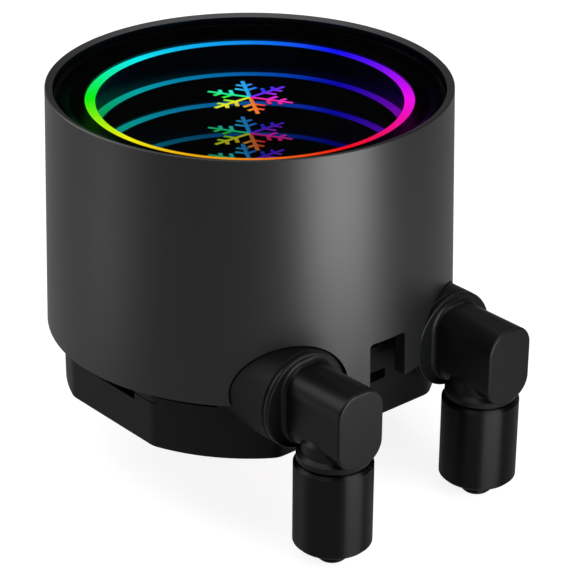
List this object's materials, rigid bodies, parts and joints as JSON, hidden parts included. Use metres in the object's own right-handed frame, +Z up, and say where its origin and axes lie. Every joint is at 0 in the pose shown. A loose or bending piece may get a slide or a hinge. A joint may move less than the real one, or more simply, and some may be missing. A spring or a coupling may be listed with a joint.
{
  "type": "liquid cooler pump head",
  "caption": "Pump head of an all-in-one CPU liquid cooler: round cover with a lit infinity-mirror cap over a copper cold plate, and swivelling hose elbows with barbs.",
  "frame": {"origin": "centre of the cold plate's contact face", "axes": "+Z up the pump's axis towards the mirror cap, the hose elbows on the -Y side, +X towards the right-hand elbow seen from the elbows"},
  "size_m": [0.0764, 0.0891, 0.0724],
  "materials": {
    "cover_plastic": "satin black moulded cover",
    "housing_plastic": "matt black glass-filled moulding",
    "elbow_plastic": "fine-grained black moulding",
    "frame_plastic": "plain black moulding",
    "collar_metal": "black anodised, satin",
    "barb_metal": "turned, black anodised",
    "copper": "machined copper with a fine lathe pattern",
    "copper_wire": "enamelled copper winding",
    "bearing_bronze": "sintered bronze",
    "screw_steel": "zinc-plated screw",
    "spring_steel": "bright stainless steel",
    "stator_steel": "stacked electrical steel",
    "ferrite": "grey ferrite magnet",
    "seal_rubber": "black O-ring rubber",
    "circuit_board": "dark solder mask",
    "chip_black": "moulded chip body",
    "led_white": "white light chip",
    "light_guide": "milky light guide",
    "mirror_glass": "silvered",
    "clear_sheet": "clear sheet",
    "emblem_ink": "translucent printed sign, lit from below",
    "bezel_black": "deep black",
    "tinted_glass": "half-mirror coating underneath",
    "socket_plastic": "plain black moulding",
    "contact_metal": "plated contact"
  },
  "bodies": {
    "pump_head": {"outer_shell": "cover_plastic", "base_housing": "housing_plastic", "cold_plate": "copper", "cold_plate_screws": "screw_steel", "plate_seal": "seal_rubber", "jet_plate": "spring_steel", "pump_cover": "housing_plastic", "cover_seal": "seal_rubber", "motor_bracket": "frame_plastic", "bracket_screws": "screw_steel", "stator_core": "stator_steel", "stator_coils": "copper_wire", "rotor_shaft": "spring_steel", "inner_frame": "frame_plastic", "frame_screws": "screw_steel", "control_board": "circuit_board", "board_screws": "screw_steel", "board_parts": "chip_black", "led_board": "circuit_board", "led_chips": "led_white", "light_ring": "light_guide", "mirror_carrier": "frame_plastic", "rear_mirror": "mirror_glass", "emblem_sheet": "clear_sheet", "emblem": "emblem_ink", "bezel": "bezel_black", "front_glass": "tinted_glass", "cable_socket": "socket_plastic", "socket_pins": "contact_metal"},
    "rotor": {"bearing_sleeve": "bearing_bronze", "rotor_magnet": "ferrite", "impeller": "frame_plastic"},
    "elbow_body_left": {"elbow_left": "elbow_plastic", "hose_barb_left": "barb_metal", "collar_left": "collar_metal", "spigot_orings_left": "seal_rubber", "retaining_ring_left": "spring_steel"},
    "elbow_body_right": {"elbow_right": "elbow_plastic", "hose_barb_right": "barb_metal", "collar_right": "collar_metal", "spigot_orings_right": "seal_rubber", "retaining_ring_right": "spring_steel"}
  },
  "joints": [
    {"name": "rotor_spin", "type": "hinge", "parent": "pump_head", "child": "rotor", "pos_m": [0, 0, 0.02], "axis": [0, 0, 1], "continuous": true},
    {"name": "elbow_left_swivel", "type": "hinge", "parent": "pump_head", "child": "elbow_body_left", "pos_m": [-0.018, -0.04, 0.016], "axis": [0, 1, 0], "range_deg": [-20, 180]},
    {"name": "elbow_right_swivel", "type": "hinge", "parent": "pump_head", "child": "elbow_body_right", "pos_m": [0.018, -0.04, 0.016], "axis": [0, -1, 0], "range_deg": [-20, 180]}
  ]
}
